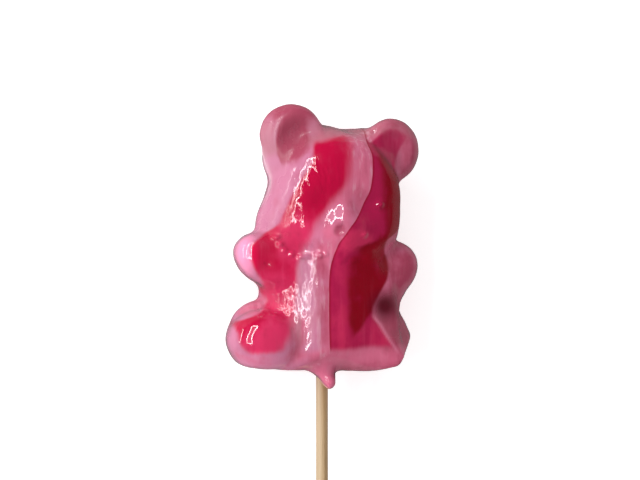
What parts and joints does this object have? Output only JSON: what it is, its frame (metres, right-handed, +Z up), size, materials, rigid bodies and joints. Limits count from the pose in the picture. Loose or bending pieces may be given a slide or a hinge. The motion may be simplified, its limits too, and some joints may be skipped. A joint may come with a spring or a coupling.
{
  "type": "bear lollipop",
  "caption": "Hard sugar bear cast in pink and red ribbons on a thin round bamboo stick, lying on its back.",
  "frame": {"origin": "on the flat of the bear's back that it lies on, straight below the stick's axis", "axes": "+Y from the stick's free end towards the bear's ears, +Z up out of its face, +X to its own left arm; the stick is parallel to Y"},
  "size_m": [0.0493, 0.1616, 0.0264],
  "materials": {
    "pink_candy": "glossy hard sugar, ribbons of opaque pink and clear red",
    "bamboo": "dry unvarnished bamboo with lengthwise grain"
  },
  "bodies": {
    "root": {"candy_bear": "pink_candy", "stick": "bamboo"}
  },
  "joints": []
}
